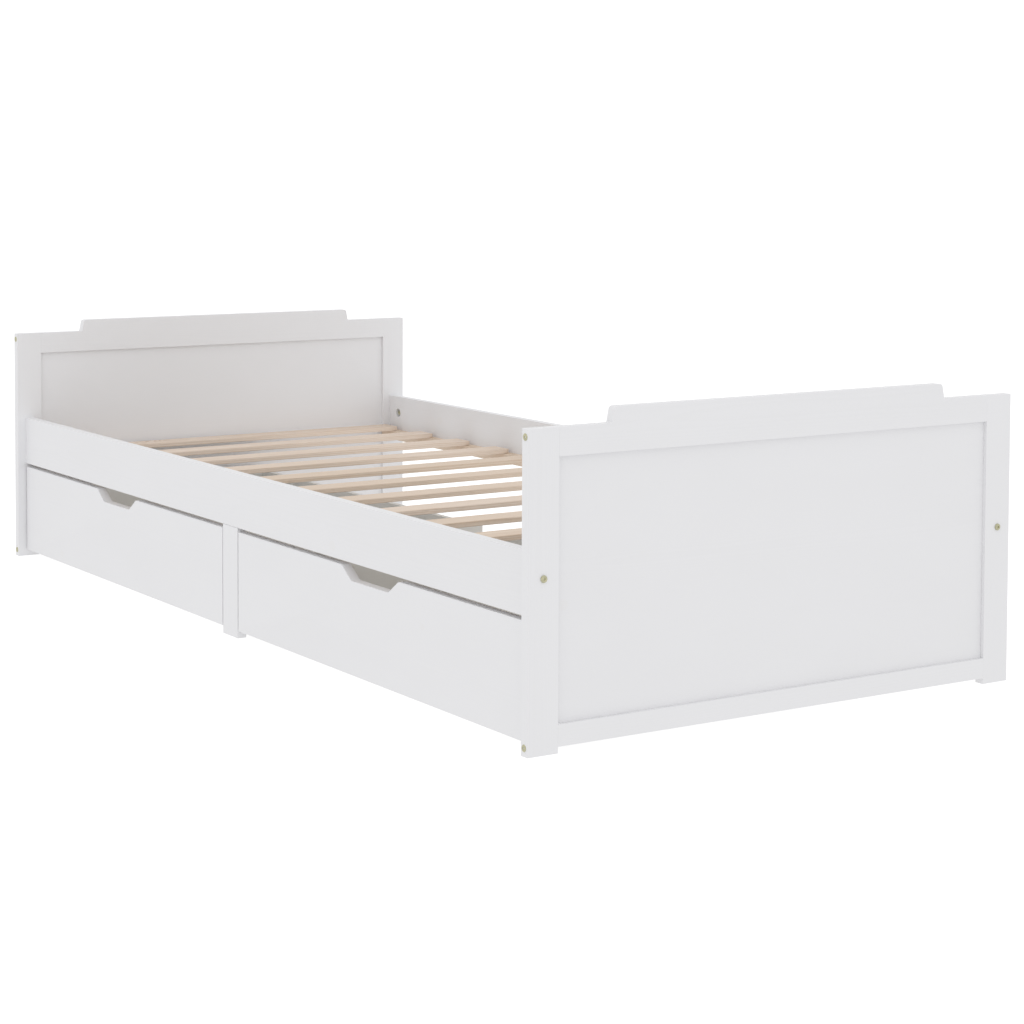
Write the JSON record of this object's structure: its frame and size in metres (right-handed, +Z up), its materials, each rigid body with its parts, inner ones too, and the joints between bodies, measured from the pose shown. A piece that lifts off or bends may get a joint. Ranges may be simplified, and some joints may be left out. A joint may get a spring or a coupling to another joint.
{
  "type": "wooden bed frame",
  "caption": "Single bed frame of white-painted pine with crested end boards, pine slats and two roll-out drawers with finger notches along one side.",
  "frame": {"origin": "on the floor under the middle of the bed", "axes": "+Z up, +Y towards the head board, drawers open towards -X"},
  "size_m": [0.98, 2.0516, 0.516],
  "materials": {
    "white_paint": "satin white paint over pine",
    "natural_pine": "planed natural pine",
    "yellow_zinc": "yellow zinc plating",
    "castor_housing": "moulded",
    "castor_wheel": "moulded"
  },
  "bodies": {
    "frame": {"foot_near_post": "white_paint", "foot_far_post": "white_paint", "foot_top_rail": "white_paint", "foot_bottom_rail": "white_paint", "foot_panel": "white_paint", "head_near_post": "white_paint", "head_far_post": "white_paint", "head_top_rail": "white_paint", "head_bottom_rail": "white_paint", "head_panel": "white_paint", "side_rail_near": "white_paint", "side_rail_far": "white_paint", "slat_ledger_near": "natural_pine", "slat_ledger_far": "natural_pine", "centre_leg_near": "white_paint", "centre_leg_far": "white_paint", "slat_01": "natural_pine", "slat_02": "natural_pine", "slat_03": "natural_pine", "slat_04": "natural_pine", "slat_05": "natural_pine", "slat_06": "natural_pine", "slat_07": "natural_pine", "slat_08": "natural_pine", "slat_09": "natural_pine", "slat_10": "natural_pine", "slat_11": "natural_pine", "slat_12": "natural_pine", "slat_13": "natural_pine", "rail_bolt_foot_near": "yellow_zinc", "rail_bolt_foot_far": "yellow_zinc", "rail_bolt_head_near": "yellow_zinc", "rail_bolt_head_far": "yellow_zinc"},
    "drawer_foot": {"drawer_foot_front": "white_paint", "drawer_foot_back": "white_paint", "drawer_foot_foot_side": "white_paint", "drawer_foot_head_side": "white_paint", "drawer_foot_bottom": "white_paint", "drawer_foot_castor_1": "castor_housing", "drawer_foot_castor_2": "castor_housing", "drawer_foot_castor_3": "castor_housing", "drawer_foot_castor_4": "castor_housing"},
    "drawer_foot_wheel_1": {"drawer_foot_wheel_1": "castor_wheel"},
    "drawer_foot_wheel_2": {"drawer_foot_wheel_2": "castor_wheel"},
    "drawer_foot_wheel_3": {"drawer_foot_wheel_3": "castor_wheel"},
    "drawer_foot_wheel_4": {"drawer_foot_wheel_4": "castor_wheel"},
    "drawer_head": {"drawer_head_front": "white_paint", "drawer_head_back": "white_paint", "drawer_head_foot_side": "white_paint", "drawer_head_head_side": "white_paint", "drawer_head_bottom": "white_paint", "drawer_head_castor_1": "castor_housing", "drawer_head_castor_2": "castor_housing", "drawer_head_castor_3": "castor_housing", "drawer_head_castor_4": "castor_housing"},
    "drawer_head_wheel_1": {"drawer_head_wheel_1": "castor_wheel"},
    "drawer_head_wheel_2": {"drawer_head_wheel_2": "castor_wheel"},
    "drawer_head_wheel_3": {"drawer_head_wheel_3": "castor_wheel"},
    "drawer_head_wheel_4": {"drawer_head_wheel_4": "castor_wheel"}
  },
  "joints": [
    {"name": "drawer_foot_slide", "type": "slide", "parent": "frame", "child": "drawer_foot", "axis": [-1, 0, 0], "range_m": [0, 0.5]},
    {"name": "drawer_foot_wheel_1_roll", "type": "hinge", "parent": "drawer_foot", "child": "drawer_foot_wheel_1", "pos_m": [-0.4032, -0.9277, 0.015], "axis": [0, -1, 0], "continuous": true},
    {"name": "drawer_foot_wheel_2_roll", "type": "hinge", "parent": "drawer_foot", "child": "drawer_foot_wheel_2", "pos_m": [-0.4032, -0.1073, 0.015], "axis": [0, -1, 0], "continuous": true},
    {"name": "drawer_foot_wheel_3_roll", "type": "hinge", "parent": "drawer_foot", "child": "drawer_foot_wheel_3", "pos_m": [0.0472, -0.9277, 0.015], "axis": [0, -1, 0], "continuous": true},
    {"name": "drawer_foot_wheel_4_roll", "type": "hinge", "parent": "drawer_foot", "child": "drawer_foot_wheel_4", "pos_m": [0.0472, -0.1073, 0.015], "axis": [0, -1, 0], "continuous": true},
    {"name": "drawer_head_slide", "type": "slide", "parent": "frame", "child": "drawer_head", "axis": [-1, 0, 0], "range_m": [0, 0.5]},
    {"name": "drawer_head_wheel_1_roll", "type": "hinge", "parent": "drawer_head", "child": "drawer_head_wheel_1", "pos_m": [-0.4032, 0.1073, 0.015], "axis": [0, -1, 0], "continuous": true},
    {"name": "drawer_head_wheel_2_roll", "type": "hinge", "parent": "drawer_head", "child": "drawer_head_wheel_2", "pos_m": [-0.4032, 0.9277, 0.015], "axis": [0, -1, 0], "continuous": true},
    {"name": "drawer_head_wheel_3_roll", "type": "hinge", "parent": "drawer_head", "child": "drawer_head_wheel_3", "pos_m": [0.0472, 0.1073, 0.015], "axis": [0, -1, 0], "continuous": true},
    {"name": "drawer_head_wheel_4_roll", "type": "hinge", "parent": "drawer_head", "child": "drawer_head_wheel_4", "pos_m": [0.0472, 0.9277, 0.015], "axis": [0, -1, 0], "continuous": true}
  ],
  "couplings": [
    {"joint": "drawer_foot_wheel_1_roll", "follows": "drawer_foot_slide", "rad_per_m": 66.667},
    {"joint": "drawer_foot_wheel_2_roll", "follows": "drawer_foot_slide", "rad_per_m": 66.667},
    {"joint": "drawer_foot_wheel_3_roll", "follows": "drawer_foot_slide", "rad_per_m": 66.667},
    {"joint": "drawer_foot_wheel_4_roll", "follows": "drawer_foot_slide", "rad_per_m": 66.667},
    {"joint": "drawer_head_wheel_1_roll", "follows": "drawer_head_slide", "rad_per_m": 66.667},
    {"joint": "drawer_head_wheel_2_roll", "follows": "drawer_head_slide", "rad_per_m": 66.667},
    {"joint": "drawer_head_wheel_3_roll", "follows": "drawer_head_slide", "rad_per_m": 66.667},
    {"joint": "drawer_head_wheel_4_roll", "follows": "drawer_head_slide", "rad_per_m": 66.667}
  ]
}
